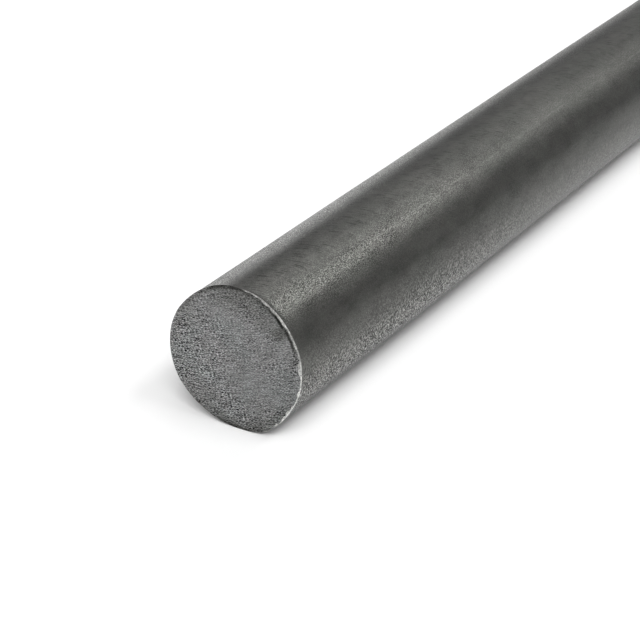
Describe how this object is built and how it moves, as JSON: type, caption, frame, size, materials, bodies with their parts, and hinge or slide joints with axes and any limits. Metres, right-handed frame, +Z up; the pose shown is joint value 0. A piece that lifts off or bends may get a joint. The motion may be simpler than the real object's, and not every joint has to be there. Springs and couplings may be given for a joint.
{
  "type": "round metal bar",
  "caption": "Solid round bar of hot-rolled steel with dark mill scale, sawn square at both ends, with a burr left along one rim.",
  "frame": {"origin": "on the floor, under the middle of the bar's length, below its axis", "axes": "+X along the bar, from the end with the burr towards the deburred end; +Z up"},
  "size_m": [1, 0.0303, 0.0304],
  "materials": {
    "mill_scale": "satin"
  },
  "bodies": {
    "root": {"bar": "mill_scale"}
  },
  "joints": []
}
